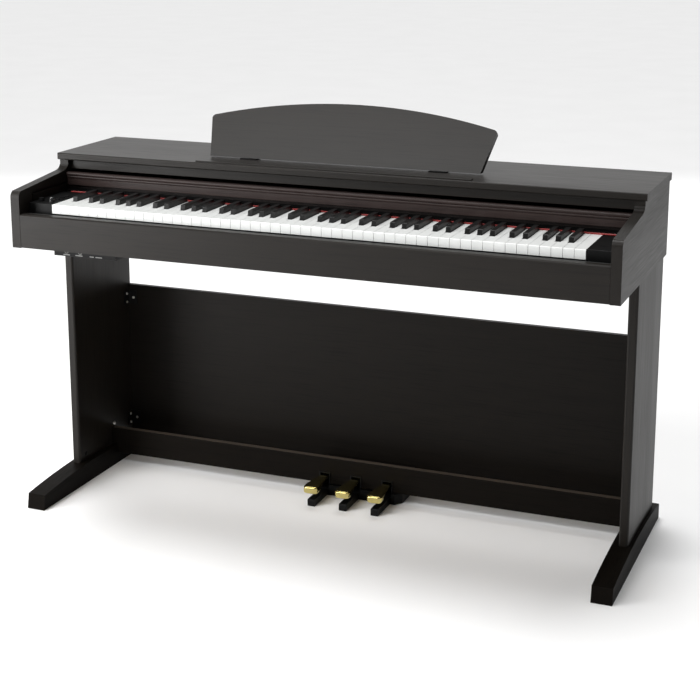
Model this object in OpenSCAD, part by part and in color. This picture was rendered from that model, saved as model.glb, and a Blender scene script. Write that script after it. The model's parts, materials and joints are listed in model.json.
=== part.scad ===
// Console digital piano on its own stand: 88 keys, sliding key cover,
// folding music stand and three pedals. Millimetres. +Z up, the player sits
// on the -Y side, the bass end is at -X, the feet rest on z = 0.

/* [Overall] */
// distance between the outer faces of the two cheeks
cheek_span = 1386; // [1340:2:1440]
// front of the key slip to the back end of the feet
depth = 512; // [460:2:560]
// floor to the top of the lid
lid_height = 820; // [780:2:860]
// thickness of the lid board
lid_t = 16; // [12:1:25]
// how far the lid stands out past each cheek
lid_over = 4; // [1:1:12]
// front edge of the lid, behind the key slip's front face
lid_front = 206; // [198:1:212]
// back of the cabinet, behind the key slip's front face
case_back = 478; // [455:1:490]
// thickness of each cheek
cheek_t = 22; // [18:1:28]

/* [Key bed] */
// underside of the cabinet above the floor
case_bottom = 635; // [600:1:660]
// height of the key slip board
slip_h = 78; // [60:1:82]
// thickness of the key slip board
slip_t = 18; // [14:1:18]
// thickness of the key bed board
bed_t = 16; // [10:1:20]

/* [Keys] */
// pitch of the white keys
key_pitch = 23.5; // [23.3:0.1:23.7]
// gap between two white keys
key_gap = 0.9; // [0.7:0.1:1.2]
// front of the white keys, behind the key slip's front face
key_front = 37; // [32:1:42]
// visible length of the white keys
key_visible = 146; // [140:1:152]
// height of a white key's front face
key_h = 20; // [16:1:22]
// length of the wide head in front of the black keys
head_len = 50; // [46:1:54]
// height of the black keys above the white keys
black_rise = 11; // [9:0.5:12]
// width of a black key
black_w = 10.6; // [9:0.2:11]
// top of the white keys above the key slip's top edge
key_above_slip = 19.5; // [18:0.5:22]
// keyboard centre, to the treble side of the cabinet centre
key_shift = 2; // [-4:1:4]
// distance from the white key fronts to the key pivots
key_reach = 263; // [240:1:275]

/* [Key cover] */
// height of the cover's front lip
lip_h = 31; // [24:1:34]
// gap between the black keys' tops and the cover
cover_clear = 2.5; // [1.5:0.5:5]
// thickness of the cover board
cover_t = 6; // [4:1:8]
// radius of the guide pins at the cover's ends
guide_pin_r = 2.5; // [2:0.1:3]
// clearance around a guide pin in its groove
guide_clear = 0.6; // [0.4:0.1:1]

/* [Music stand] */
// half of the stand's width along its bottom edge
stand_half = 322; // [280:1:360]
// extra half width at the stand's top corners
stand_splay = 24; // [0:1:40]
// height of the stand's top corners along the panel
stand_corner = 104; // [80:1:120]
// height of the middle of the arched top along the panel
stand_mid = 149; // [110:1:170]
// lean of the stand back from upright
stand_lean = 33; // [20:1:45]
// thickness of the stand panel
stand_t = 12; // [8:1:16]
// stand centre, to the bass side of the cabinet centre
stand_shift = 8; // [0:1:20]

/* [Stand] */
// thickness of each leg panel
leg_t = 21; // [18:1:28]
// front edge of the legs, behind the key slip's front face
leg_front = 204; // [180:1:230]
// depth of each leg panel
leg_d = 272; // [220:1:280]
// width of each foot
foot_w = 45; // [36:1:60]
// front end of the feet, behind the key slip's front face
foot_front = 15; // [5:1:60]
// height of the feet at their ends
foot_end_h = 35; // [28:1:44]
// height of the feet in the middle
foot_mid_h = 50; // [42:1:60]
// top edge of the modesty panel above the floor
modesty_top = 444; // [380:2:520]
// thickness of the modesty panel
modesty_t = 12; // [9:1:18]
// front face of the bottom rail, behind the key slip's front face
rail_front = 359; // [330:1:380]
// bottom edge of the bottom rail above the floor
rail_bottom = 27; // [15:1:40]
// height of the bottom rail
rail_h = 65; // [55:1:90]
// thickness of the bottom rail
rail_t = 18; // [12:1:22]

/* [Pedals] */
// distance between neighbouring pedals
pedal_pitch = 80; // [65:1:90]
// how far the pedals stand out of the bottom rail
pedal_out = 94; // [70:1:110]
// width of a pedal at its tip
pedal_w = 38; // [26:1:40]
// width of a pedal's stem
stem_w = 19; // [14:1:22]
// gap between a pedal's stem and its slot
stem_gap = 1.6; // [1:0.1:3]

/* [Hidden] */
$fn = 48;

cheek_x = cheek_span / 2;
inner_x = cheek_x - cheek_t;
board_x = inner_x - 0.5;
lid_bottom = lid_height - lid_t;
slip_top = case_bottom + slip_h;
key_top = slip_top + key_above_slip;
key_bottom = key_top - key_h;
key_back = key_front + key_visible;
pivot_y = key_front + key_reach;
tail_end = pivot_y + 12;
tail_top = key_top - 6;
black_top = key_top + black_rise;
bed_bottom = case_bottom + 5;
bed_top = bed_bottom + bed_t;
keys_left = key_shift - 26 * key_pitch;
keys_right = key_shift + 26 * key_pitch;
block_gap = 1.5;
block_top = key_top + 1;
black_front = key_front + head_len + 1.6;
black_slot = black_w + 2 * 1.3;
octave = 7 * key_pitch;
cde_tail = 3 * key_pitch / 5;
fgab_tail = 4 * key_pitch / 7;

// front lip of the cover, and the board behind it
lip_bottom = black_top + cover_clear;
lip_top = lip_bottom + lip_h;
lip_y = lid_front - 3;
lip_t = 10;
cover_z = lip_bottom + 4;
cover_back = case_back - 36;
pin_z = cover_z + cover_t / 2;
groove_h = 2 * (guide_pin_r + guide_clear);
groove_depth = 5;
cover_travel = lip_y - key_front - 1;
cover_x = inner_x - 1.5;

// cheek outline
slant_front_z = case_bottom + 129;
slant_back_y = lid_front - 18;
slant_back_z = case_bottom + 146;
cheek_neck = lid_front + 4;
fascia_y = lid_front + 16;

// stand
leg_x = inner_x - 3;
foot_x = leg_x - 16;
leg_back = leg_front + leg_d;
leg_foot_z = 36;
rail_back = rail_front + rail_t;
modesty_y = leg_back - modesty_t - 2;

// pedals
pedal_z = 50;
pedal_t = 6;
pedal_pivot_y = rail_back + 55;
pedal_tip_y = rail_front - pedal_out;
slot_w = stem_w + 2 * stem_gap;
slot_top = pedal_z + 3.5;
trim_w = 3.2;
arm_h = 17;
lip_r = 9;
arm_len = pedal_out - 8;
box_x = pedal_pitch + 35;
housing_top = pedal_z + 12;
chassis_back = pivot_y + 24;
speaker_r = 62;
speaker_x = 470;
speaker_y = chassis_back + 4 + speaker_r;

module color_wood() color([0.20, 0.17, 0.15]) children();
module color_black() color([0.04, 0.04, 0.045]) children();
module from_front() translate([0, -depth / 2, 0]) children();
module box(x0, x1, y0, y1, z0, z1) translate([x0, y0, z0]) cube([x1 - x0, y1 - y0, z1 - z0]);

// rectangle with all four corners rounded
module soft_rect(x0, x1, y0, y1, r) {
    translate([x0 + r, y0]) square([x1 - x0 - 2 * r, y1 - y0]);
    translate([x0, y0 + r]) square([x1 - x0, y1 - y0 - 2 * r]);
    for (x = [x0 + r, x1 - r])
        for (y = [y0 + r, y1 - r])
            translate([x, y]) circle(r);
}

// extrudes an outline drawn as (y, z) along x
module along_x(x0, x1) translate([x0, 0, 0]) rotate([90, 0, 90]) linear_extrude(x1 - x0) children();

module lid_top() color_wood() from_front() difference() {
    union() {
        along_x(-cheek_x - lid_over, cheek_x + lid_over)
            soft_rect(lid_front, case_back, lid_bottom, lid_height, 3);
        along_x(-stand_shift - stand_half - 6, -stand_shift + stand_half + 6)
            soft_rect(lid_front + 8, lid_front + 20, lid_height - 4, lid_height + 3, 1.5);
    }
    box(-board_x - 1, board_x + 1, lid_front + 60, case_back - 60, lid_bottom - 1, lid_bottom + 2);
}

module lid_fascia() color_wood() from_front()
    along_x(-board_x, board_x) soft_rect(fascia_y, fascia_y + 12, lip_top + 5, lid_bottom, 1);

module cheek_outline() {
    r_front = 14;
    difference() {
        polygon([[0, case_bottom], [case_back, case_bottom], [case_back, lid_bottom],
            [cheek_neck, lid_bottom], [cheek_neck, slant_back_z + 4],
            [slant_back_y, slant_back_z], [9, slant_front_z], [0, slant_front_z - r_front]]);
        translate([-1, slant_front_z - 8]) square([3, 20]);
    }
    translate([r_front, slant_front_z - r_front]) intersection() {
        circle(r_front);
        translate([-r_front, 0]) square([r_front, r_front]);
    }
    // concave blend under the lid
    difference() {
        translate([cheek_neck - 14, slant_back_z]) square([14, 12]);
        translate([cheek_neck - 16, slant_back_z + 18]) circle(16);
    }
}

// guide groove for the cover's end pins, with the drop at its front end
module groove_outline() {
    y0 = lip_y + 22 - cover_travel - 4;
    y1 = cover_back - 8 + guide_pin_r + 3;
    soft_rect(y0, y1, pin_z - groove_h / 2, pin_z + groove_h / 2, groove_h / 2 - 0.01);
    soft_rect(y0 - 2, y0 + 4, pin_z - 26, pin_z + groove_h / 2 - 1, 2.9);
}

module cheek(side) color_wood() from_front() difference() {
    along_x(side > 0 ? inner_x : -cheek_x, side > 0 ? cheek_x : -inner_x) cheek_outline();
    along_x(side > 0 ? inner_x - 1 : -inner_x - groove_depth,
        side > 0 ? inner_x + groove_depth : -inner_x + 1) groove_outline();
    // rebate for the cabinet's back panel
    box(side > 0 ? inner_x - 1 : -inner_x - 6, side > 0 ? inner_x + 6 : -inner_x + 1,
        case_back - 9, case_back + 1, bed_bottom - 0.5, lid_bottom + 1);
}

module cheek_left() cheek(-1);
module cheek_right() cheek(1);

module key_slip() color_wood() from_front() along_x(-board_x, board_x)
    polygon([[0.5, case_bottom + 1], [slip_t, case_bottom + 1], [slip_t, slip_top],
        [3.5, slip_top], [0.5, slip_top - 3]]);

module keybed() color([0.30, 0.24, 0.18]) from_front() difference() {
    box(-board_x, board_x, slip_t, case_back - 12, bed_bottom, bed_top);
    for (x = [-speaker_x, speaker_x])
        translate([x, speaker_y, bed_bottom - 1]) cylinder(r = speaker_r - 10, h = bed_t + 2);
    for (x = [-speaker_x - 90, speaker_x + 90])
        for (y = [60, speaker_y - 65])
            translate([x, y, bed_bottom - 1]) cylinder(r = 3.2, h = bed_t + 2);
}

module upper_back() color_wood() from_front() difference() {
    box(-inner_x - 5.5, inner_x + 5.5, case_back - 8, case_back - 1, bed_bottom, lid_bottom);
    for (i = [0:6])
        box(-90 + 24 * i, -78 + 24 * i, case_back - 9, case_back, bed_top + 50, bed_top + 86);
    box(-610, -585, case_back - 9, case_back, bed_top + 12, bed_top + 30);
}

module key_lip() color([0.34, 0.34, 0.36]) from_front()
    along_x(-board_x, board_x) soft_rect(slip_t + 0.5, key_front - 2, key_bottom - 16, key_bottom - 2.5, 1.4);

module name_strip() color([0.26, 0.22, 0.21]) from_front()
    box(-board_x, board_x, lip_y + 6, lip_y + 14, key_top + 7, lip_bottom - 1);

module felt_strip() color([0.55, 0.03, 0.05]) from_front()
    box(-board_x + 20, board_x - 20, key_back + 2, key_back + 9, tail_top + 1.5, key_top + 2);

module rear_rail() color_black() from_front() difference() {
    union() {
        box(-board_x, board_x, key_back + 9, lip_y + 6, tail_top + 1.5, key_top + 5);
        box(-board_x, board_x, lip_y + 6, lip_y + 14, tail_top + 1.5, key_top + 7);
    }
    box(-board_x - 1, -board_x + 4, key_back + 8, lip_y + 15, tail_top, key_top + 8);
}

// hollow end block with button holes on the bass side
module end_block(x0, x1) {
    z0 = key_bottom - 10;
    difference() {
        along_x(x0, x1) soft_rect(key_front, key_back + 1, z0, block_top, 1.2);
        box(x0 + 2.5, x1 - 2.5, key_front + 3, key_back - 2, z0 - 1, block_top - 2.5);
    }
}

bass_x0 = -board_x + 2;
bass_x1 = keys_left - block_gap;
treble_x0 = keys_right + block_gap;
treble_x1 = board_x - 2;
power_x = bass_x0 + 17;
knob_x = bass_x1 - 15;
control_y = key_front + 26;
tone_x = knob_x - 2;
power_half = 4.5;
knob_r = 7;
tone_half = 5;

module block_left() color_black() from_front() difference() {
    end_block(bass_x0, bass_x1);
    box(power_x - power_half - 0.5, power_x + power_half + 0.5,
        control_y - 5.5, control_y + 5.5, block_top - 4, block_top + 1);
    translate([knob_x, control_y, block_top - 4]) cylinder(r = 3.4, h = 6);
    for (i = [0:2])
        box(tone_x - tone_half - 0.5, tone_x + tone_half + 0.5,
            control_y + 24 + 20 * i, control_y + 31 + 20 * i, block_top - 4, block_top + 1);
}

module block_right() color_black() from_front() difference() {
    end_block(treble_x0, treble_x1);
    box(treble_x0 + 14, treble_x0 + 34, key_front + 40, key_front + 41.5, block_top - 0.6, block_top + 1);
}

module power_button() color([0.10, 0.10, 0.11]) from_front() {
    box(power_x - power_half, power_x + power_half, control_y - 5, control_y + 5,
        block_top - 2.2, block_top + 8);
    box(power_x - 2, power_x + 2, control_y - 2, control_y + 2, block_top - 8, block_top - 2.2);
}

module volume_knob() color([0.12, 0.12, 0.13]) from_front() difference() {
    translate([knob_x, control_y, 0]) union() {
        translate([0, 0, block_top + 0.6]) cylinder(r = knob_r, h = 9);
        translate([0, 0, block_top - 8]) cylinder(r = 3, h = 9);
    }
    box(knob_x - 0.6, knob_x + 0.6, control_y - knob_r - 1, control_y - 2, block_top + 8.6, block_top + 11);
}

module tone_buttons() color([0.16, 0.16, 0.17]) from_front() for (i = [0:2]) {
    box(tone_x - tone_half, tone_x + tone_half, control_y + 24.5 + 20 * i,
        control_y + 30.5 + 20 * i, block_top - 2.2, block_top + 2.4);
    box(tone_x - 1.5, tone_x + 1.5, control_y + 26 + 20 * i,
        control_y + 29 + 20 * i, block_top - 7, block_top - 2.2);
}

// steel tray that carries the key pivots and stops
module key_chassis() color([0.45, 0.46, 0.48]) from_front() {
    box(keys_left - 1, keys_right + 1, slip_t + 22, chassis_back, bed_top, bed_top + 3);
    box(keys_left - 1, keys_right + 1, pivot_y + 14, pivot_y + 22, bed_top + 3, tail_top + 2);
    box(keys_left - 1, keys_right + 1, key_front + 20, key_front + 26, bed_top + 3, key_bottom - 14);
    for (x = [keys_left + 60 : 200 : keys_right - 20])
        box(x, x + 3, key_front + 26, pivot_y + 14, bed_top + 3, bed_top + 16);
}

module main_board() from_front() {
    color([0.05, 0.24, 0.12]) box(-160, 160, case_back - 120, case_back - 30, bed_top + 8, bed_top + 9.6);
    color([0.6, 0.6, 0.62]) for (x = [-150, 150])
        for (y = [case_back - 112, case_back - 38])
            translate([x, y, bed_top]) cylinder(r = 4, h = 8);
    color_black() for (x = [-90, -20, 60])
        box(x, x + 34, case_back - 95, case_back - 61, bed_top + 9.6, bed_top + 12.6);
    color([0.75, 0.73, 0.66]) box(110, 140, case_back - 90, case_back - 50, bed_top + 9.6, bed_top + 26);
}

module speakers() color_black() from_front() for (x = [-speaker_x, speaker_x])
    translate([x, speaker_y, 0]) rotate_extrude() polygon([[0, bed_top + 44],
        [0, bed_top + 14], [14, bed_top + 14], [speaker_r - 16, bed_top - 2],
        [speaker_r - 12, bed_top - 2], [speaker_r - 12, bed_top], [speaker_r, bed_top],
        [speaker_r, bed_top + 4], [speaker_r - 12, bed_top + 5], [speaker_r - 30, bed_top + 24],
        [speaker_r - 30, bed_top + 44]]);

jack_x0 = -inner_x + 68;
jack_x1 = jack_x0 + 158;
jack_y = slip_t + 12;
jack_d = 34;
jack_z = bed_bottom - 22;
jack_r = 3.3;

module jack_box() color_black() from_front() {
    difference() {
        along_x(jack_x0, jack_x1) soft_rect(jack_y, jack_y + jack_d, jack_z, bed_bottom, 2);
        box(jack_x0 + 3, jack_x1 - 3, jack_y + 22, jack_y + jack_d - 3, jack_z + 3, bed_bottom + 1);
        for (x = [jack_x0 + 33, jack_x0 + 68])
            translate([x, jack_y - 1, jack_z + 12]) rotate([-90, 0, 0]) cylinder(r = 5.2, h = 20);
    }
    for (m = [[24, 17], [55, 19], [92, 11], [107, 17]])
        box(jack_x0 + m[0], jack_x0 + m[0] + m[1], jack_y - 0.4, jack_y + 0.6,
            jack_z + 3, jack_z + 5.4);
}

// two headphone sockets under the key bed and the low-voltage inlet at the back
module sockets() color([0.70, 0.70, 0.72]) from_front() {
    for (x = [jack_x0 + 33, jack_x0 + 68])
        translate([x, jack_y - 1.5, jack_z + 12]) rotate([-90, 0, 0]) difference() {
            cylinder(r = 5.2, h = 19);
            translate([0, 0, -1]) cylinder(r = jack_r, h = 17);
        }
    difference() {
        box(-609, -586, case_back - 26, case_back - 2, bed_top + 13, bed_top + 29);
        translate([-597.5, case_back - 12, bed_top + 21]) rotate([-90, 0, 0]) cylinder(r = 2.9, h = 12);
    }
}

module leg(side) color_wood() from_front() difference() {
    translate([0, 0, leg_foot_z]) linear_extrude(case_bottom - leg_foot_z)
        soft_rect(side > 0 ? leg_x - leg_t + 21 - 1 : -leg_x - 20,
            side > 0 ? leg_x + 20 : -leg_x + leg_t - 20, leg_front, leg_back, 5);
}
module leg_left() leg(-1);
module leg_right() leg(1);

// arched foot; the leg stands in a socket in its top
foot_len = depth - foot_front;
foot_rise = foot_mid_h - foot_end_h;
foot_arc = (foot_len * foot_len / 4 + foot_rise * foot_rise) / (2 * foot_rise);

module foot_outline() difference() {
    intersection() {
        polygon([[foot_front, 0], [depth, 0], [depth, foot_mid_h + 1],
            [foot_front + 8, foot_mid_h + 1], [foot_front + 5.5, foot_end_h - 4]]);
        translate([foot_front + foot_len / 2, foot_mid_h - foot_arc]) circle(foot_arc, $fn = 360);
    }
    translate([depth - 3, foot_end_h - 4]) difference() {
        square(6);
        circle(3);
    }
}

module foot(side) color_wood() from_front() difference() {
    along_x(side > 0 ? foot_x : -foot_x - foot_w, side > 0 ? foot_x + foot_w : -foot_x)
        foot_outline();
    translate([0, 0, leg_foot_z]) linear_extrude(60)
        soft_rect(side > 0 ? leg_x - leg_t + 20 : -leg_x - 20,
            side > 0 ? leg_x + 20 : -leg_x + leg_t - 20, leg_front, leg_back, 5);
}
module foot_left() foot(-1);
module foot_right() foot(1);

panel_x = leg_x - leg_t + 20;

module modesty_panel() color_wood() from_front()
    box(-panel_x, panel_x, modesty_y, modesty_y + modesty_t, foot_mid_h + 4, modesty_top);

module bottom_rail() color_wood() from_front() difference() {
    along_x(-panel_x, panel_x) difference() {
        soft_rect(rail_front, rail_back, rail_bottom, rail_bottom + rail_h, 2);
    }
    // room for the feet where they come inside the legs
    for (s = [-1, 1])
        box(s > 0 ? foot_x - 1 : -panel_x - 1, s > 0 ? panel_x + 1 : -foot_x + 1,
            rail_front - 1, rail_back + 1, 0, foot_mid_h + 1);
    for (i = [-1:1])
        box(i * pedal_pitch - slot_w / 2 - trim_w, i * pedal_pitch + slot_w / 2 + trim_w,
            rail_front - 1, rail_back + 1, rail_bottom - 1, slot_top + trim_w);
}

module pedal_trim() color_black() from_front() for (i = [-1:1]) {
    difference() {
        box(i * pedal_pitch - slot_w / 2 - trim_w, i * pedal_pitch + slot_w / 2 + trim_w,
            rail_front - 2, rail_back, rail_bottom, slot_top + trim_w);
        box(i * pedal_pitch - slot_w / 2, i * pedal_pitch + slot_w / 2,
            rail_front - 3, rail_back + 1, rail_bottom - 1, slot_top);
    }
    translate([i * pedal_pitch, 0, 0]) along_x(-9, 9)
        polygon([[rail_front - arm_len, 0.5], [rail_front - 6, 0.5], [rail_front - 6, arm_h],
            [rail_front - arm_len + 2, arm_h], [rail_front - arm_len, arm_h - 2]]);
}

// base plate and the housing behind the rail
module pedal_box() color_black() from_front() {
    difference() {
        union() {
            translate([0, 0, 0.5]) linear_extrude(rail_bottom - 1.5) polygon([
                [-box_x, rail_front + 12], [-box_x + 14, rail_front - 6],
                [box_x - 14, rail_front - 6], [box_x, rail_front + 12],
                [box_x, rail_back + 78], [-box_x, rail_back + 78]]);
            box(-box_x, box_x, rail_back + 2, rail_back + 78, rail_bottom - 2, housing_top);
        }
        for (i = [-1:1]) {
            box(i * pedal_pitch - slot_w / 2 - 1, i * pedal_pitch + slot_w / 2 + 1,
                rail_back - 1, rail_back + 74, 18, housing_top - 4);
            box(i * pedal_pitch - slot_w / 2 - 1, i * pedal_pitch + slot_w / 2 + 1,
                rail_front - 10, rail_back + 20, 18, rail_bottom + 4);
        }
    }
}

// spatula pedal: stem, widening blade and rounded lip
module pedal_plan() {
    soft_rect(-pedal_w / 2, pedal_w / 2, pedal_tip_y, pedal_tip_y + 34, 15);
    polygon([[-pedal_w / 2, pedal_tip_y + 20], [pedal_w / 2, pedal_tip_y + 20],
        [stem_w / 2, rail_front - 6], [-stem_w / 2, rail_front - 6]]);
    translate([-stem_w / 2, rail_front - 8]) square([stem_w, rail_t + 60]);
}

module pedal_side() {
    y1 = pedal_pivot_y + 6;
    polygon([[pedal_tip_y + lip_r, pedal_z + 1.5 - 2 * lip_r],
        [pedal_tip_y + 20, pedal_z + 3 - 2 * lip_r],
        [pedal_tip_y + 44, pedal_z - pedal_t - 1], [y1, pedal_z - pedal_t - 1],
        [y1, pedal_z], [rail_front - 10, pedal_z], [pedal_tip_y + 30, pedal_z + 1.5],
        [pedal_tip_y + lip_r, pedal_z + 1.5]]);
    translate([pedal_tip_y + lip_r, pedal_z + 1.5 - lip_r]) circle(lip_r);
}

module pedal(i) color([0.83, 0.66, 0.24]) from_front() translate([i * pedal_pitch, 0, 0]) intersection() {
    translate([0, 0, pedal_z - 20]) linear_extrude(30) pedal_plan();
    along_x(-pedal_w, pedal_w) pedal_side();
}
module pedal_left() pedal(-1);
module pedal_middle() pedal(0);
module pedal_right() pedal(1);

// corner brackets between legs and panels, with their screw heads
module brackets() color([0.62, 0.62, 0.60]) from_front() for (s = [-1, 1]) for (z = [73, modesty_top - 50]) {
    difference() {
        translate([s > 0 ? panel_x - 26 : -panel_x, modesty_y - 22, z]) cube([26, 22, 34]);
        translate([s > 0 ? panel_x - 27 : -panel_x + 2, modesty_y - 23, z - 1]) cube([25, 21, 36]);
    }
    translate([s * (panel_x - 17), modesty_y - 2, z + 17]) rotate([90, 0, 0]) cylinder(r = 3, h = 1.6);
    for (dz = [6, 28])
        translate([s > 0 ? panel_x - 3.4 : -panel_x + 1.9, modesty_y - 13, z + dz])
            rotate([0, 90, 0]) cylinder(r = 2.4, h = 1.5);
}

stand_y = lid_front + 80;
stand_z = lid_height + 3;
stand_dy = stand_t / cos(stand_lean);
stand_pivot_y = stand_y + stand_dy + 0.8;
stand_pivot_z = stand_z + 1;

module stand_outline() {
    rise = stand_mid - stand_corner;
    top = stand_half + stand_splay;
    arc_r = (top * top + rise * rise) / (2 * rise);
    intersection() {
        polygon([[-stand_half, -20], [stand_half, -20], [top, stand_corner - 6],
            [top - 1.6, stand_corner - 1.6], [top - 5.5, stand_corner + 1],
            [top - 12, stand_mid + 5], [-top + 12, stand_mid + 5],
            [-top + 5.5, stand_corner + 1], [-top + 1.6, stand_corner - 1.6],
            [-top, stand_corner - 6]]);
        translate([0, stand_mid - arc_r]) circle(arc_r, $fn = 720);
    }
}

module music_stand() color_wood() from_front() intersection() {
    translate([-stand_shift, stand_y, stand_z]) rotate([90 - stand_lean, 0, 0])
        translate([0, 0, -stand_t]) linear_extrude(stand_t) stand_outline();
    translate([-500, 0, stand_z]) cube([1000, 600, 300]);
}

module stand_hinges() color_black() from_front() for (s = [-1, 1])
    translate([-stand_shift + s * stand_half * 0.71, 0, 0]) {
        box(-20, 20, stand_y - 4, stand_pivot_y + 9, lid_height, lid_height + 2.2);
    }

module key_cover() color([0.22, 0.18, 0.17]) from_front() {
    along_x(-cover_x, cover_x) {
        soft_rect(lip_y, lip_y + lip_t, lip_bottom, lip_top, 1.5);
        translate([lip_y - 1, lip_top - 4.2]) circle(4.2);
        translate([lip_y + 0.5, lip_top - 11]) circle(3.4);
        translate([lip_y + 4, cover_z]) square([cover_back - lip_y - 4, cover_t]);
    }
    for (s = [-1, 1])
        for (y = [lip_y + 22, cover_back - 8])
            translate([s > 0 ? cover_x - 1 : -cover_x - 4, y, pin_z]) rotate([0, 90, 0])
                cylinder(r = guide_pin_r, h = 5);
}

// plan of one white key; c0 and c1 are black key centres beside it
module white_plan(i, c0, c1) difference() {
    translate([keys_left + i * key_pitch + key_gap / 2, key_front])
        square([key_pitch - key_gap, tail_end - key_front]);
    for (c = [c0, c1])
        translate([c - black_slot / 2, black_front - 1.6]) square([black_slot, 400]);
}

// side of a white key: full height in view, lower behind the felt strip
module white_side() polygon([[key_front, key_bottom], [tail_end, key_bottom],
    [tail_end, tail_top], [key_back + 1, tail_top], [key_back + 0.5, key_top],
    [key_front + 1.2, key_top], [key_front, key_top - 1.2]]);

module black_side() polygon([[black_front, key_bottom + 6], [tail_end, key_bottom + 6],
    [tail_end, tail_top], [key_back + 1, tail_top], [key_back + 0.5, black_top],
    [black_front + 8, black_top], [black_front + 5.5, black_top - 1]]);

// position of octave k's C, counted in white keys from the lowest key
function c_of(k) = 2 + 7 * (k - 1);
// centre of black key n of octave k (0 = C sharp .. 4 = A sharp)
function black_c(k, n) = keys_left + c_of(k) * key_pitch
    + (n < 2 ? cde_tail * (1.5 + 2 * n) : 3 * key_pitch + fgab_tail * (1.5 + 2 * (n - 2)));
// black key centres beside white key w of octave k; far away where there is none
function left_c(k, w) = w == 0 || w == 3 ? -9000 : black_c(k, w < 3 ? w - 1 : w - 2);
function right_c(k, w) = w == 2 || w == 6 ? -9000 : black_c(k, w < 3 ? w : w - 1);

module white(k, w, closed = false) color([0.95, 0.95, 0.93]) from_front() {
    i = c_of(k) + w;
    intersection() {
        along_x(keys_left + i * key_pitch, keys_left + (i + 1) * key_pitch) white_side();
        linear_extrude(1000) white_plan(i, closed ? -9000 : left_c(k, w), closed ? -9000 : right_c(k, w));
    }
}

module black(k, n) color([0.05, 0.05, 0.055]) from_front()
    along_x(black_c(k, n) - black_w / 2, black_c(k, n) + black_w / 2) black_side();

module white_octave(k) for (w = [0:6]) white(k, w);
module black_octave(k) for (n = [0:4]) black(k, n);

module low_white(w) color([0.95, 0.95, 0.93]) from_front() intersection() {
    along_x(keys_left + (w - 5) * key_pitch, keys_left + (w - 4) * key_pitch) white_side();
    linear_extrude(1000) white_plan(w - 5, w == 5 ? -9000 : black_c(0, 4), w == 6 ? -9000 : black_c(0, 4));
}

module whites_1() {
    for (w = [5, 6]) low_white(w);
    white_octave(1);
}
module blacks_1() {
    black(0, 4);
    black_octave(1);
}
module whites_2() white_octave(2);
module blacks_2() black_octave(2);
module whites_3() white_octave(3);
module blacks_3() black_octave(3);
module whites_5() white_octave(5);
module blacks_5() black_octave(5);
module whites_6() white_octave(6);
module blacks_6() black_octave(6);
module whites_7() {
    white_octave(7);
    white(8, 0, true);
}
module blacks_7() black_octave(7);
module key_c4() white(4, 0);
module key_cs4() black(4, 0);
module key_d4() white(4, 1);
module key_ds4() black(4, 1);
module key_e4() white(4, 2);
module key_f4() white(4, 3);
module key_fs4() black(4, 2);
module key_g4() white(4, 4);
module key_gs4() black(4, 3);
module key_a4() white(4, 5);
module key_as4() black(4, 4);
module key_b4() white(4, 6);

lid_top();
lid_fascia();
cheek_left();
cheek_right();
key_slip();
keybed();
upper_back();
key_lip();
name_strip();
felt_strip();
rear_rail();
block_left();
block_right();
key_chassis();
main_board();
speakers();
jack_box();
sockets();
leg_left();
leg_right();
foot_left();
foot_right();
modesty_panel();
bottom_rail();
pedal_box();
pedal_trim();
brackets();
stand_hinges();
key_cover();
music_stand();
power_button();
volume_knob();
tone_buttons();
pedal_left();
pedal_middle();
pedal_right();
whites_1();
blacks_1();
whites_2();
blacks_2();
whites_3();
blacks_3();
whites_5();
blacks_5();
whites_6();
blacks_6();
whites_7();
blacks_7();
key_c4();
key_cs4();
key_d4();
key_ds4();
key_e4();
key_f4();
key_fs4();
key_g4();
key_gs4();
key_a4();
key_as4();
key_b4();
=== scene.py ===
import math
import json

import bmesh
import bpy
from mathutils import Matrix, Vector


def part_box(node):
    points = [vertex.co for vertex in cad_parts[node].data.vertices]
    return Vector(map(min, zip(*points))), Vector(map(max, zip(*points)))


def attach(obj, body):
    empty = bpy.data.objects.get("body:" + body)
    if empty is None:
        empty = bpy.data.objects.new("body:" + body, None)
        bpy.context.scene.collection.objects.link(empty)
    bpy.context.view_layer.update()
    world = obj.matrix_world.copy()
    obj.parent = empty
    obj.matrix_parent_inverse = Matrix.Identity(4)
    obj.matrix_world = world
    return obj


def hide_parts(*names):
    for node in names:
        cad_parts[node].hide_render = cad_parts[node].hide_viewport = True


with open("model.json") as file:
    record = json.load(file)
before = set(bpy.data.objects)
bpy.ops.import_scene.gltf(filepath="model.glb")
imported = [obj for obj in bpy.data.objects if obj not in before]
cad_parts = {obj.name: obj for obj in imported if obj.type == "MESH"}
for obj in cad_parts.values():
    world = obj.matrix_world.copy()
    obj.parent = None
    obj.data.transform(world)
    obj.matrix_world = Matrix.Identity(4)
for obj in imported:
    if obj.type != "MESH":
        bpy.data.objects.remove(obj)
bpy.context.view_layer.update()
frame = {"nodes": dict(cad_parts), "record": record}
nodes = frame["nodes"]
scene = bpy.context.scene

# ---------------------------------------------------------------- camera
# Turn about Z and tilt are in radians, the focal length in the units of FRAME_WIDTH, and the
# vertical shift is a share of the frame.
YAW, PITCH, FOCAL, SHIFT = 0.3806, 0.2221, 1542.6, -0.15
FRAME_WIDTH, SENSOR_MM = 700.0, 36.0
EYE = Vector((1.2791, -3.1313, 1.4087))

cam_data = bpy.data.cameras.new("camera")
cam = bpy.data.objects.new("camera", cam_data)
scene.collection.objects.link(cam)
cam_data.sensor_width = SENSOR_MM
cam_data.lens = FOCAL / FRAME_WIDTH * SENSOR_MM
cam_data.shift_y = SHIFT
cam_data.clip_end = 200.0
back = Vector((math.sin(YAW) * math.cos(PITCH), -math.cos(YAW) * math.cos(PITCH), math.sin(PITCH)))
right = Vector((math.cos(YAW), math.sin(YAW), 0.0))
up = back.cross(right)
turn = Matrix((right, up, back)).transposed().to_4x4()
cam.matrix_world = Matrix.Translation(EYE) @ turn
scene.camera = cam

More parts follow.
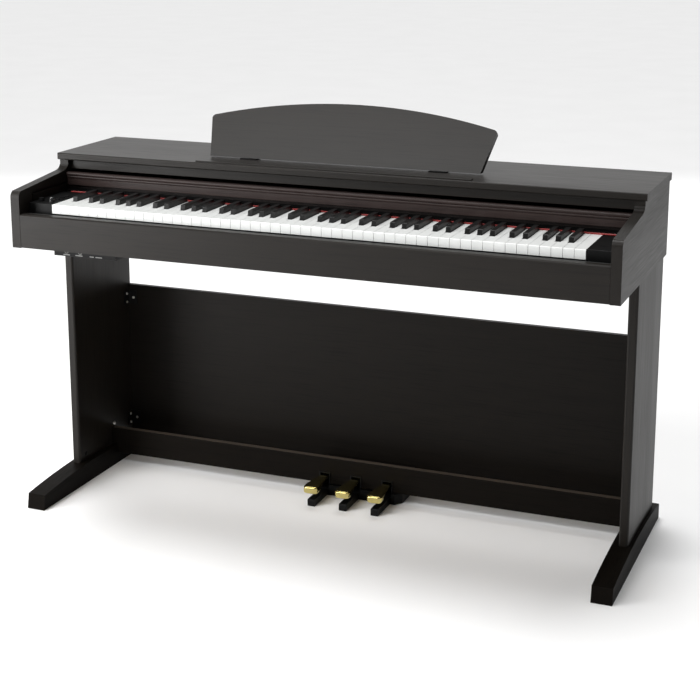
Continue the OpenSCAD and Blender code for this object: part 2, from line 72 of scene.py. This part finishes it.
# ---------------------------------------------------------------- node helpers


class Graph:
    """A material's node tree, with short calls for the nodes used here."""

    def __init__(self, name):
        self.mat = bpy.data.materials.new(name)
        self.mat.use_nodes = True
        self.tree = self.mat.node_tree
        self.tree.nodes.clear()
        self.out = self.tree.nodes.new("ShaderNodeOutputMaterial")
        self.bsdf = self.tree.nodes.new("ShaderNodeBsdfPrincipled")
        self.tree.links.new(self.bsdf.outputs[0], self.out.inputs["Surface"])
        self.coord = self.tree.nodes.new("ShaderNodeTexCoord").outputs["Object"]

    def link(self, a, b):
        self.tree.links.new(a, b)

    def place(self, scale, shift=(0, 0, 0)):
        n = self.tree.nodes.new("ShaderNodeMapping")
        n.inputs["Scale"].default_value = scale
        n.inputs["Location"].default_value = shift
        self.link(self.coord, n.inputs["Vector"])
        return n.outputs[0]

    def noise(self, vec, scale=1.0, detail=4.0, rough=0.55, warp=0.0):
        n = self.tree.nodes.new("ShaderNodeTexNoise")
        n.inputs["Scale"].default_value = scale
        n.inputs["Detail"].default_value = detail
        n.inputs["Roughness"].default_value = rough
        n.inputs["Distortion"].default_value = warp
        self.link(vec, n.inputs["Vector"])
        return n.outputs["Fac"]

    def ramp(self, fac, stops):
        n = self.tree.nodes.new("ShaderNodeValToRGB")
        e = n.color_ramp.elements
        while len(e) < len(stops):
            e.new(0.5)
        for item, (pos, col) in zip(e, stops):
            item.position = pos
            item.color = (*col, 1.0)
        self.link(fac, n.inputs["Fac"])
        return n.outputs["Color"]

    def span(self, fac, a, b, lo=0.0, hi=1.0):
        n = self.tree.nodes.new("ShaderNodeMapRange")
        for key, v in (("From Min", lo), ("From Max", hi), ("To Min", a), ("To Max", b)):
            n.inputs[key].default_value = v
        self.link(fac, n.inputs["Value"])
        return n.outputs[0]

    def mix(self, fac, a, b):
        n = self.tree.nodes.new("ShaderNodeMix")
        n.data_type = "RGBA"
        # sockets 0, 6 and 7 are the factor and the two colours of an RGBA mix, and output 2 its result
        for sock, v in ((n.inputs[0], fac), (n.inputs[6], a), (n.inputs[7], b)):
            if isinstance(v, bpy.types.NodeSocket):
                self.link(v, sock)
            elif isinstance(v, (int, float)):
                sock.default_value = v
            else:
                sock.default_value = (*v, 1.0)
        return n.outputs[2]

    def blend(self, a, share_a, b):
        """a and b added, each weighed by its share of the whole."""
        parts = []
        for v, share in ((a, share_a), (b, round(1.0 - share_a, 3))):
            n = self.tree.nodes.new("ShaderNodeMath")
            n.operation = "MULTIPLY"
            self.link(v, n.inputs[0])
            n.inputs[1].default_value = share
            parts.append(n.outputs[0])
        total = self.tree.nodes.new("ShaderNodeMath")
        total.operation = "ADD"
        for v, sock in zip(parts, total.inputs):
            self.link(v, sock)
        return total.outputs[0]

    def bump(self, height, strength, distance, after=None):
        n = self.tree.nodes.new("ShaderNodeBump")
        n.inputs["Strength"].default_value = strength
        n.inputs["Distance"].default_value = distance
        self.link(height, n.inputs["Height"])
        if after is not None:
            self.link(after, n.inputs["Normal"])
        return n.outputs[0]

    def base(self, v):
        if isinstance(v, bpy.types.NodeSocket):
            self.link(v, self.bsdf.inputs["Base Color"])
        else:
            self.bsdf.inputs["Base Color"].default_value = (*v, 1.0)

    def rough(self, v):
        if isinstance(v, bpy.types.NodeSocket):
            self.link(v, self.bsdf.inputs["Roughness"])
        else:
            self.bsdf.inputs["Roughness"].default_value = v

    def set(self, **kw):
        for k, v in kw.items():
            self.bsdf.inputs[k.replace("_", " ")].default_value = v

    def normal(self, v):
        self.link(v, self.bsdf.inputs["Normal"])


def stretch(axis, along, across):
    """Mapping scale for streaks that run along one axis."""
    return tuple(along if i == "XYZ".index(axis) else across for i in range(3))


def laminate(name, axis, light, dark, pore, rough=(0.38, 0.5), level=0.2, shift=0.0):
    """Printed wood film on board: long streaks, fine dark pores, a satin lacquer."""
    g = Graph(name)
    broad = g.noise(g.place(stretch(axis, 0.8, 9.0), (shift, shift, shift)), 1.0, 5, 0.6, 0.6)
    streak = g.noise(g.place(stretch(axis, 2.2, 70.0), (shift, 1.3, shift)), 1.0, 6, 0.62, 0.25)
    fine = g.noise(g.place(stretch(axis, 9.0, 420.0), (0.2, shift, 0.7)), 1.0, 3, 0.6)
    tone = g.mix(g.span(streak, 0.15, 0.85, 0.32, 0.68), dark, light)
    tone = g.mix(g.span(broad, 0.0, 0.35, 0.35, 0.75), tone, tuple(c * 0.8 for c in light))
    tone = g.mix(g.span(fine, 0.75, 0.0, 0.36, 0.46), tone, pore)
    g.base(tone)
    g.rough(g.span(g.blend(fine, 0.6, broad), rough[1], rough[0], 0.35, 0.65))
    g.set(Specular_IOR_Level=level)
    g.normal(g.bump(fine, 0.25, 0.0002, g.bump(streak, 0.08, 0.0003)))
    return g.mat


def shade(film, f):
    """A film's light, dark and pore colours, all multiplied by f: below 1 for darker copies that carry
    painted shade, above 1 for lighter copies that carry a painted highlight.
    """
    return [tuple(c * f for c in t) for t in film]


# Light, dark and pore colours of the rosewood and the wine-red films.
ROSE = ((0.0108, 0.0086, 0.0066), (0.0078, 0.0062, 0.0048), (0.0042, 0.0034, 0.0027))
WINE = ((0.0400, 0.0270, 0.0245), (0.0270, 0.0182, 0.0168), (0.0140, 0.0098, 0.0090))


def plastic(name, col, rough, grain=0.0, level=0.5, scale=900.0):
    """Moulded plastic: a fine spark-eroded grain, faint clouding of the colour."""
    g = Graph(name)
    cloud = g.noise(g.coord, 14.0, 3, 0.5)
    fine = g.noise(g.coord, scale, 2, 0.5)
    g.base(g.ramp(cloud, [(0.3, tuple(c * 0.9 for c in col)), (0.7, tuple(min(1, c * 1.06) for c in col))]))
    g.rough(g.span(g.blend(cloud, 0.5, fine), rough - 0.05, rough + 0.07, 0.3, 0.7))
    g.set(Specular_IOR_Level=level)
    if grain:
        g.normal(g.bump(fine, grain, 0.0002))
    return g.mat


def metal(name, col, rough, axis="Y", brush=0.25, worn=None):
    """Brushed or plated metal with fine lines along an axis."""
    g = Graph(name)
    lines = g.noise(g.place(stretch(axis, 18.0, 900.0)), 1.0, 4, 0.6)
    cloud = g.noise(g.coord, 30.0, 4, 0.6)
    g.base(g.mix(g.span(cloud, 0.0, 0.7, 0.35, 0.7), col, worn or tuple(c * 0.8 for c in col)))
    g.rough(g.span(g.blend(lines, 0.6, cloud), rough * 0.75, rough * 1.3, 0.35, 0.65))
    g.set(Metallic=1.0)
    g.normal(g.bump(lines, brush, 0.00012))
    return g.mat


MAT = {}
MAT["lam_x"] = laminate("laminate_along", "X", *ROSE)
MAT["lam_y"] = laminate("laminate_depth", "Y", *ROSE, shift=2.1)
MAT["lam_z"] = laminate("laminate_upright", "Z", *ROSE, shift=4.2)
# Modesty panel: the rosewood film at three quarters of its brightness, a darker copy that carries painted
# shade for the shadow under the case.
MAT["panel"] = laminate("laminate_panel_painted_shade", "X", *shade(ROSE, 0.75), level=0.11, shift=3.3)
MAT["slip"] = laminate("laminate_slip", "X", *ROSE, rough=(0.36, 0.48), shift=5.7)
MAT["desk"] = laminate("laminate_desk", "X", *ROSE, level=0.4, shift=7.9)
MAT["cover"] = laminate("cover_film", "X", *WINE, rough=(0.34, 0.46), shift=1.1)
# Film for the broken edges of rosewood parts: one and a half times lighter and glossier, a painted
# highlight along the rounded edges.
MAT["edge"] = laminate("laminate_edge_highlight", "X", *shade(ROSE, 1.5), rough=(0.3, 0.4), shift=9.0)


def chipboard():
    """Raw board: flat flakes of several wood tones."""
    g = Graph("raw_chipboard")
    flake = g.tree.nodes.new("ShaderNodeTexVoronoi")
    flake.inputs["Scale"].default_value = 1.0
    g.link(g.place((260.0, 420.0, 700.0)), flake.inputs["Vector"])
    cloud = g.noise(g.coord, 60.0, 6, 0.7)
    tone = g.ramp(flake.outputs["Color"], [(0.0, (0.27, 0.19, 0.11)), (0.5, (0.38, 0.28, 0.17)),
                                           (1.0, (0.47, 0.37, 0.24))])
    g.base(g.mix(g.span(cloud, 0.0, 0.6, 0.4, 0.7), tone, (0.2, 0.14, 0.085)))
    g.rough(g.span(cloud, 0.75, 0.95))
    g.normal(g.bump(flake.outputs["Distance"], 0.3, 0.0004))
    return g.mat


def felt():
    """Woven red strip behind the keys: matted fibres with a little sheen."""
    g = Graph("red_felt")
    fibre = g.noise(g.coord, 1400.0, 5, 0.75, 1.2)
    cloud = g.noise(g.coord, 90.0, 4, 0.6)
    tone = g.mix(g.span(fibre, 0.0, 1.0, 0.3, 0.7), (0.30, 0.010, 0.012), (0.55, 0.035, 0.030))
    g.base(g.mix(g.span(cloud, 0.0, 0.4, 0.4, 0.7), tone, (0.20, 0.008, 0.010)))
    g.rough(g.span(fibre, 0.85, 1.0))
    g.set(Sheen_Weight=0.4, Sheen_Roughness=0.5, Specular_IOR_Level=0.2)
    g.normal(g.bump(fibre, 0.8, 0.0006))
    return g.mat


def circuit():
    """Green solder resist with a raised grid of tracks."""
    g = Graph("circuit_board")
    tracks = g.tree.nodes.new("ShaderNodeTexBrick")
    g.link(g.place((90.0, 90.0, 90.0)), tracks.inputs["Vector"])
    tracks.inputs["Color1"].default_value = (0.012, 0.085, 0.032, 1)
    tracks.inputs["Color2"].default_value = (0.010, 0.070, 0.028, 1)
    tracks.inputs["Mortar"].default_value = (0.03, 0.17, 0.06, 1)
    g.base(tracks.outputs["Color"])
    g.rough(g.span(g.noise(g.coord, 300.0, 3), 0.3, 0.5))
    g.normal(g.bump(tracks.outputs["Fac"], 0.3, 0.0001))
    return g.mat


def ivory():
    """Key tops: hard white acrylic, polished, very faintly cloudy."""
    g = Graph("white_key")
    cloud = g.noise(g.coord, 22.0, 3, 0.5)
    fine = g.noise(g.coord, 260.0, 3, 0.5)
    g.base(g.ramp(cloud, [(0.3, (0.80, 0.815, 0.80)), (0.7, (0.86, 0.87, 0.855))]))
    g.rough(g.span(fine, 0.16, 0.26, 0.3, 0.7))
    g.set(Specular_IOR_Level=0.5, Coat_Weight=0.25, Coat_Roughness=0.08)
    g.normal(g.bump(fine, 0.02, 0.0001))
    return g.mat


def ebony():
    """Black keys: matt moulded resin with a fine grain along the key."""
    g = Graph("black_key")
    grain = g.noise(g.place((700.0, 60.0, 700.0)), 1.0, 4, 0.6)
    cloud = g.noise(g.coord, 40.0, 3, 0.5)
    g.base(g.ramp(cloud, [(0.3, (0.0028, 0.0028, 0.0028)), (0.7, (0.0044, 0.0044, 0.0043))]))
    g.rough(g.span(grain, 0.32, 0.46, 0.3, 0.7))
    g.set(Specular_IOR_Level=0.22)
    g.normal(g.bump(grain, 0.15, 0.00015))
    return g.mat


MAT["chip"] = chipboard()
MAT["white"] = ivory()
MAT["black"] = ebony()
MAT["black_plastic"] = plastic("black_plastic", (0.0032, 0.0033, 0.0033), 0.40, 0.3, 0.12)
MAT["button"] = plastic("button_black", (0.010, 0.010, 0.0105), 0.26, 0.1, 0.4)
MAT["grey"] = plastic("grey_plastic", (0.060, 0.063, 0.061), 0.5, 0.3)
MAT["dark_steel"] = plastic("black_steel", (0.0045, 0.0045, 0.0045), 0.45, 0.2, 0.15)
# Name strip: the wine-red cover film at 0.4 of its brightness, a darker copy that carries painted shade
# under the cover's lip.
MAT["strip"] = laminate("strip_film_painted_shade", "X", *shade(WINE, 0.4), shift=6.1)
MAT["felt"] = felt()
MAT["sheet_steel"] = metal("sheet_steel", (0.42, 0.42, 0.41), 0.38, "X", 0.3)
MAT["zinc"] = metal("zinc_steel", (0.56, 0.56, 0.54), 0.34, "X", 0.2, (0.42, 0.42, 0.38))
MAT["nickel"] = metal("nickel", (0.66, 0.64, 0.60), 0.2, "Y", 0.1)
MAT["pcb"] = circuit()
MAT["speaker"] = plastic("speaker_black", (0.012, 0.012, 0.012), 0.6, 0.5, 0.4, 500.0)
MAT["brass"] = metal("brass", (0.66, 0.56, 0.22), 0.15, "Y", 0.08, (0.55, 0.45, 0.16))
MAT["mark"] = plastic("printed_mark", (0.16, 0.16, 0.155), 0.5)
MAT["pointer"] = plastic("printed_pointer", (0.60, 0.60, 0.58), 0.45)
MAT["socket"] = metal("dark_nickel", (0.10, 0.10, 0.095), 0.3, "Y", 0.1)
# Bottom rail and feet: darker copies of the rosewood film with little sheen, painted shade for the low
# parts near the floor.
MAT["rail"] = laminate("laminate_rail_painted_shade", "X", *shade(ROSE, 0.62), rough=(0.42, 0.54), level=0.04, shift=8.3)
MAT["foot"] = laminate("laminate_foot_painted_shade", "Y", *shade(ROSE, 0.55), rough=(0.42, 0.54), level=0.03, shift=6.6)
# The rosewood film six and a half times lighter and glossier, for the rail's top: a painted highlight.
MAT["band"] = laminate("edge_band", "X", *shade(ROSE, 6.5), rough=(0.3, 0.42), level=0.5, shift=2.8)

# ---------------------------------------------------------------- CAD nodes: finish, painted shade, and broken edges with a painted highlight
# The material for each of the record's slots, and the nodes with a finish of their own; for the modesty
# panel, bottom rail, feet and name strip that finish is a darker film copy carrying painted shade.
SLOT = {
    "chipboard": "chip", "white_key": "white", "black_key": "black", "black_plastic": "black_plastic",
    "button_black": "button", "grey_plastic": "grey", "red_felt": "felt", "sheet_steel": "sheet_steel",
    "zinc_steel": "zinc", "nickel": "nickel", "circuit_board": "pcb", "speaker_black": "speaker",
    "brass": "brass", "cover_laminate": "cover", "rosewood_laminate": "lam_x",
}
GRAIN_FINISH_AND_SHADE = {
    "cheek_left": "lam_y", "cheek_right": "lam_y", "leg_left": "lam_z", "leg_right": "lam_z",
    "foot_left": "foot", "foot_right": "foot", "bottom_rail": "rail", "sockets": "socket",
    "modesty_panel": "panel", "key_slip": "slip",
    "music_stand": "desk", "brackets": "dark_steel", "name_strip": "strip",
}
# Radius of the broken edge, in metres, and its segments.
EDGE = {
    "rosewood_laminate": (0.0009, 2), "cover_laminate": (0.0008, 2), "white_key": (0.0007, 2),
    "black_key": (0.0009, 3), "brass": (0.0022, 3), "black_plastic": (0.0008, 2),
    "button_black": (0.0006, 2), "chipboard": (0.0003, 1), "grey_plastic": (0.0006, 2),
}


def slots_by_node():
    """Each node's material slot, as the record states it."""
    found = {}

    def walk(x):
        if isinstance(x, dict):
            if "node" in x and "material_slot" in x:
                found[x["node"]] = x["material_slot"]
            for v in x.values():
                walk(v)
        elif isinstance(x, list):
            for v in x:
                walk(v)

    walk(frame["record"])
    return found


part_slot = slots_by_node()


def soften(obj, width, segments, edge):
    """Break a node's edges; edge is the new faces' material index, or None for their neighbours'."""
    m = obj.modifiers.new("broken_edge", "BEVEL")
    m.width = width
    m.segments = segments
    m.limit_method = "ANGLE"
    m.angle_limit = math.radians(38)
    m.harden_normals = False
    m.use_clamp_overlap = True
    if edge is not None:
        m.material = edge
    for p in obj.data.polygons:
        p.use_smooth = False
    w = obj.modifiers.new("even_shade", "WEIGHTED_NORMAL")
    w.keep_sharp = True


# Nodes whose edges are rounder than their material's.
EDGE_NODE = {"cheek_left": (0.0022, 3), "cheek_right": (0.0022, 3), "pedal_box": (0.0015, 2),
             "lid_top": (0.0011, 2), "key_slip": (0.0013, 2)}

for name, obj in nodes.items():
    where = part_slot.get(name, "rosewood_laminate")
    mat = MAT[GRAIN_FINISH_AND_SHADE.get(name, SLOT[where])]
    obj.data.materials.clear()
    obj.data.materials.append(mat)
    wide, seg = EDGE_NODE.get(name, EDGE.get(where, (0, 0)))
    if wide:
        edge = None
        # Rosewood parts get the lighter edge film on their bevel faces: a painted highlight along the
        # edges.
        if where == "rosewood_laminate":
            obj.data.materials.append(MAT["edge"])
            edge = 1
        soften(obj, wide, seg, edge)

# ---------------------------------------------------------------- detailed pieces


def new_piece(name, bm, mat, body, smooth=True):
    """Make an object of a bmesh and let it ride on a body."""
    mesh = bpy.data.meshes.new(name)
    bmesh.ops.recalc_face_normals(bm, faces=bm.faces[:])
    bm.to_mesh(mesh)
    bm.free()
    for f in mesh.polygons:
        f.use_smooth = smooth
    o = bpy.data.objects.new(name, mesh)
    scene.collection.objects.link(o)
    mesh.materials.append(mat)
    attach(o, body)
    return o


def rings(bm, loops):
    """Skin a list of vertex rings, with a cap at each end."""
    for a, b in zip(loops, loops[1:]):
        n = len(a)
        for k in range(n):
            bm.faces.new((a[k], a[(k + 1) % n], b[(k + 1) % n], b[k]))
    bm.faces.new(loops[0])
    bm.faces.new(list(reversed(loops[-1])))


RING_POINTS, CORNER_POWER = 20, 0.30


def pedal(node, body):
    """A cast brass spatula: narrow stem, widening blade, thick rolled lip."""
    lo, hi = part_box(node)
    mid, wide, tip, top = (lo.x + hi.x) / 2, hi.x - lo.x, lo.y, hi.z - 0.0015
    stem = 0.5 * wide
    low = lo.z - top
    # distance from the tip, width, then top and bottom measured from the blade's top plane
    rows = [(0.0, 0.54 * wide, -0.0026, low + 0.0030), (0.0002, 0.60 * wide, -0.0016, low + 0.0020),
            (0.0018, 0.78 * wide, 0.0002, low + 0.0006), (0.0046, 0.92 * wide, 0.0012, low + 0.0001),
            (0.0090, 0.99 * wide, 0.0014, low + 0.0001), (0.017, 1.0 * wide, 0.0014, low + 0.0010),
            (0.026, 0.97 * wide, 0.0013, 0.72 * low), (0.040, 0.87 * wide, 0.0010, 0.52 * low),
            (0.060, 0.72 * wide, 0.0005, -0.0070), (0.088, stem, 0.0, -0.0070),
            (0.120, stem, 0.0, -0.0070), (hi.y - lo.y - 0.001, stem, 0.0, -0.0070)]
    bm = bmesh.new()
    loops = []
    for d, w, zt, zb in rows:
        h, c = (zt - zb) / 2, (zt + zb) / 2
        ring = []
        for k in range(RING_POINTS):
            a = 2 * math.pi * k / RING_POINTS
            ca, sa = math.cos(a), math.sin(a)
            x = math.copysign(abs(ca) ** CORNER_POWER, ca) * w / 2
            z = math.copysign(abs(sa) ** (CORNER_POWER + 0.14), sa) * h
            ring.append(bm.verts.new((mid + x, tip + d, top + c + z)))
        loops.append(ring)
    rings(bm, loops)
    o = new_piece(node + "_cast", bm, MAT["brass"], body)
    sub = o.modifiers.new("smooth", "SUBSURF")
    sub.levels = sub.render_levels = 2
    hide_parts(node)


for side in ("left", "middle", "right"):
    pedal("pedal_" + side, side + "_pedal")


def turned(name, at, axis, profile, mat, body, cross=0.0, seg=24):
    """A turned head: profile is (radius, height) from the rim to the crown; cross cuts a driver recess."""
    bm = bmesh.new()
    loops = [[bm.verts.new((r * math.cos(2 * math.pi * k / seg), r * math.sin(2 * math.pi * k / seg), h))
              for k in range(seg)] for r, h in profile]
    rings(bm, loops)
    if cross:
        top = max(h for _, h in profile)
        for v in bm.verts:
            in_slot = min(abs(v.co.x), abs(v.co.y)) < cross * 0.28 and v.co.xy.length < cross
            if in_slot and v.co.z > top * 0.6:
                v.co.z -= top * 0.45
    turn_to = Vector((0, 0, 1)).rotation_difference(Vector(axis)).to_matrix().to_4x4()
    bmesh.ops.transform(bm, matrix=Matrix.Translation(Vector(at)) @ turn_to, verts=bm.verts[:])
    o = new_piece(name, bm, mat, body)
    m = o.modifiers.new("crisp", "BEVEL")
    m.width, m.segments, m.angle_limit = 0.00015, 1, math.radians(50)
    m.limit_method = "ANGLE"


# Radius and height of each ring, from the rim to the crown.
PAN = [(0.0034, 0.0), (0.0034, 0.0008), (0.0030, 0.0015), (0.0022, 0.0019), (0.0012, 0.0021),
       (0.0004, 0.0021)]
CAP = [(0.0056, 0.0), (0.0056, 0.0006), (0.0050, 0.0011), (0.0030, 0.0013), (0.0010, 0.0013)]
CROSS_RADIUS = 0.0021
BRACKET_HEIGHT = 0.034
panel_lo, panel_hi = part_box("modesty_panel")
brk_lo, brk_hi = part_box("brackets")
rail_lo, rail_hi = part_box("bottom_rail")
foot_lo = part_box("foot_left")[0]
face_y = panel_lo.y - 0.0036
for side, s_x in (("l", -1), ("r", 1)):
    for level, z0 in (("low", brk_lo.z), ("high", brk_hi.z - BRACKET_HEIGHT)):
        turned(f"screw_panel_{side}_{level}",
               (s_x * (panel_hi.x - 0.017), face_y, z0 + BRACKET_HEIGHT / 2), (0, -1, 0),
               PAN, MAT["zinc"], "cabinet", CROSS_RADIUS)
        for k, dz in enumerate((0.006, 0.028)):
            turned(f"screw_leg_{side}_{level}_{k}",
                   (s_x * (panel_hi.x - 0.0034), panel_lo.y - 0.013, z0 + dz), (-s_x, 0, 0),
                   PAN, MAT["zinc"], "cabinet", CROSS_RADIUS)
    turned(f"cap_leg_{side}_front", (s_x * (panel_hi.x - 0.0001), foot_lo.y + 0.218, 0.066), (-s_x, 0, 0),
           CAP, MAT["black_plastic"], "cabinet")
    turned(f"cap_leg_{side}_rail", (s_x * (panel_hi.x - 0.0001), rail_hi.y - 0.006, rail_hi.z + 0.008),
           (-s_x, 0, 0), CAP, MAT["zinc"], "cabinet")


def plate(name, x0, x1, z0, z1, y, thick, mat, body, r=0.0008):
    """A thin printed mark with rounded corners, on a face that looks along -Y."""
    bm = bmesh.new()
    ring = []
    for cx, cz, a0 in ((x1 - r, z1 - r, 0), (x0 + r, z1 - r, 90),
                       (x0 + r, z0 + r, 180), (x1 - r, z0 + r, 270)):
        for k in range(5):
            a = math.radians(a0 + 22.5 * k)
            ring.append((cx + r * math.cos(a), cz + r * math.sin(a)))
    loops = [[bm.verts.new((x, yy, z)) for x, z in ring] for yy in (y, y - thick)]
    rings(bm, loops)
    o = new_piece(name, bm, mat, body, False)


def band(name, lo, hi, z, mat):
    """A lighter strip on a board's top edge, just inside its rounded corners: a painted highlight for the
    light that falls on the top.
    """
    bm = bmesh.new()
    y0, y1, r = lo.y + 0.0019, hi.y - 0.0019, 0.0004
    loops = []
    for x in (lo.x + 0.001, hi.x - 0.001):
        pts = [(y0, z - 0.0001), (y1, z - 0.0001), (y1, z + 0.00005), (y1 - r, z + 0.00012),
               (y0 + r, z + 0.00012), (y0, z + 0.00005)]
        loops.append([bm.verts.new((x, y, zz)) for y, zz in pts])
    rings(bm, loops)
    o = new_piece(name, bm, mat, "cabinet", False)


# Painted highlight along the bottom rail's top edge.
band("rail_top_highlight", rail_lo, rail_hi, rail_hi.z, MAT["band"])

jack_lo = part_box("jack_box")[0]
# each mark's distance from the socket box's left end, and its width
for k, (dx, w) in enumerate(((0.024, 0.017), (0.055, 0.019), (0.092, 0.011), (0.107, 0.017))):
    plate(f"socket_mark_{k}", jack_lo.x + dx, jack_lo.x + dx + w, jack_lo.z + 0.003, jack_lo.z + 0.0054,
          jack_lo.y - 0.00002, 0.0001, MAT["mark"], "cabinet")

knob_lo, knob_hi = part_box("volume_knob")
kx, ky = (knob_lo.x + knob_hi.x) / 2, (knob_lo.y + knob_hi.y) / 2
kr, kh = (knob_hi.x - knob_lo.x) / 2, knob_hi.z - knob_lo.z


def ribbed_knob():
    """A knob with fine ribs and a dished top, and its printed pointer."""
    bm = bmesh.new()
    n = 72
    loops = []
    # share of the radius, share of the height, and how deep the ribs are cut
    for f, h, rib in ((0.97, 0.0, 0), (1.0, 0.05, 0), (1.0, 0.14, 0), (0.94, 0.16, 1), (0.92, 0.80, 1),
                      (0.90, 0.90, 0.6), (0.84, 0.965, 0), (0.78, 1.0, 0), (0.70, 1.0, 0), (0.66, 0.97, 0),
                      (0.3, 0.955, 0), (0.05, 0.955, 0)):
        ring = []
        for k in range(n):
            a = 2 * math.pi * k / n
            cut = 0.045 * rib if k % 3 == 0 else 0.0
            ring.append(bm.verts.new((kx + kr * (f - cut) * math.cos(a), ky + kr * (f - cut) * math.sin(a),
                                      knob_lo.z + kh * h)))
        loops.append(ring)
    rings(bm, loops)
    o = new_piece("volume_cap", bm, MAT["button"], "volume")
    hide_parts("volume_knob")
    bm = bmesh.new()
    top = knob_hi.z
    w, y0, y1 = 0.0006, ky - 0.74 * kr, ky - 0.22 * kr
    pts = [(kx + w * math.cos(math.radians(a)), y + w * math.sin(math.radians(a)))
           for y, first in ((y1, 0), (y0, 180)) for a in range(first, first + 181, 30)]
    loops = [[bm.verts.new((x, y, z)) for x, y in pts] for z in (top - 0.0009, top - 0.0001)]
    rings(bm, loops)
    o = new_piece("volume_pointer", bm, MAT["pointer"], "volume", False)


ribbed_knob()

# ---------------------------------------------------------------- stage and light
FLOOR_HALF = 60
floor_mesh = bpy.data.meshes.new("floor")
corners = [(x * FLOOR_HALF, y * FLOOR_HALF, 0) for x, y in ((-1, -1), (1, -1), (1, 1), (-1, 1))]
floor_mesh.from_pydata(corners, [], [(0, 1, 2, 3)])
floor = bpy.data.objects.new("floor", floor_mesh)
scene.collection.objects.link(floor)
fg = Graph("floor_pale")
soft = fg.noise(fg.coord, 3.0, 3, 0.5)
fg.base(fg.ramp(soft, [(0.3, (0.90, 0.90, 0.90)), (0.7, (0.92, 0.92, 0.92))]))
fg.rough(0.75)
fg.set(Specular_IOR_Level=0.2)
floor.data.materials.append(fg.mat)

world = bpy.data.worlds.new("studio")
scene.world = world
world.use_nodes = True
sky_light = world.node_tree.nodes["Background"]
sky_light.inputs["Color"].default_value = (1.0, 1.0, 1.0, 1.0)
sky_light.inputs["Strength"].default_value = 0.15


def softbox(name, at, to, size, power):
    """A rectangular lamp that faces a point and is not seen by the camera."""
    data = bpy.data.lights.new(name, "AREA")
    data.shape = "RECTANGLE"
    data.size, data.size_y = size
    data.energy = power
    o = bpy.data.objects.new(name, data)
    scene.collection.objects.link(o)
    o.location = at
    o.rotation_euler = (Vector(to) - Vector(at)).to_track_quat("-Z", "Y").to_euler()
    o.visible_camera = False


softbox("key_left", (-2.1, -1.9, 1.9), (-0.5, 0, 0.65), (1.4, 1.4), 40)
softbox("low_left", (-2.1, -2.1, 0.75), (-0.6, -0.2, 0.68), (1.0, 0.8), 42)
softbox("front_high", (-0.9, -2.6, 3.4), (-0.2, 0, 0.8), (2.2, 1.2), 60)
softbox("side_right", (3.2, 0.6, 1.7), (0.6, 0, 0.5), (1.4, 2.0), 2)
softbox("back", (-1.7, 3.8, 1.9), (-0.2, 0, 0.8), (5.2, 2.2), 42)
sky = bpy.data.lights.new("overhead", "SUN")
sky.energy = 2.6
sky.angle = math.radians(36)
sky_obj = bpy.data.objects.new("overhead", sky)
scene.collection.objects.link(sky_obj)
sky_obj.rotation_euler = (math.radians(-12), math.radians(-8), 0)

scene.view_settings.view_transform = "Standard"
scene.view_settings.look = "None"
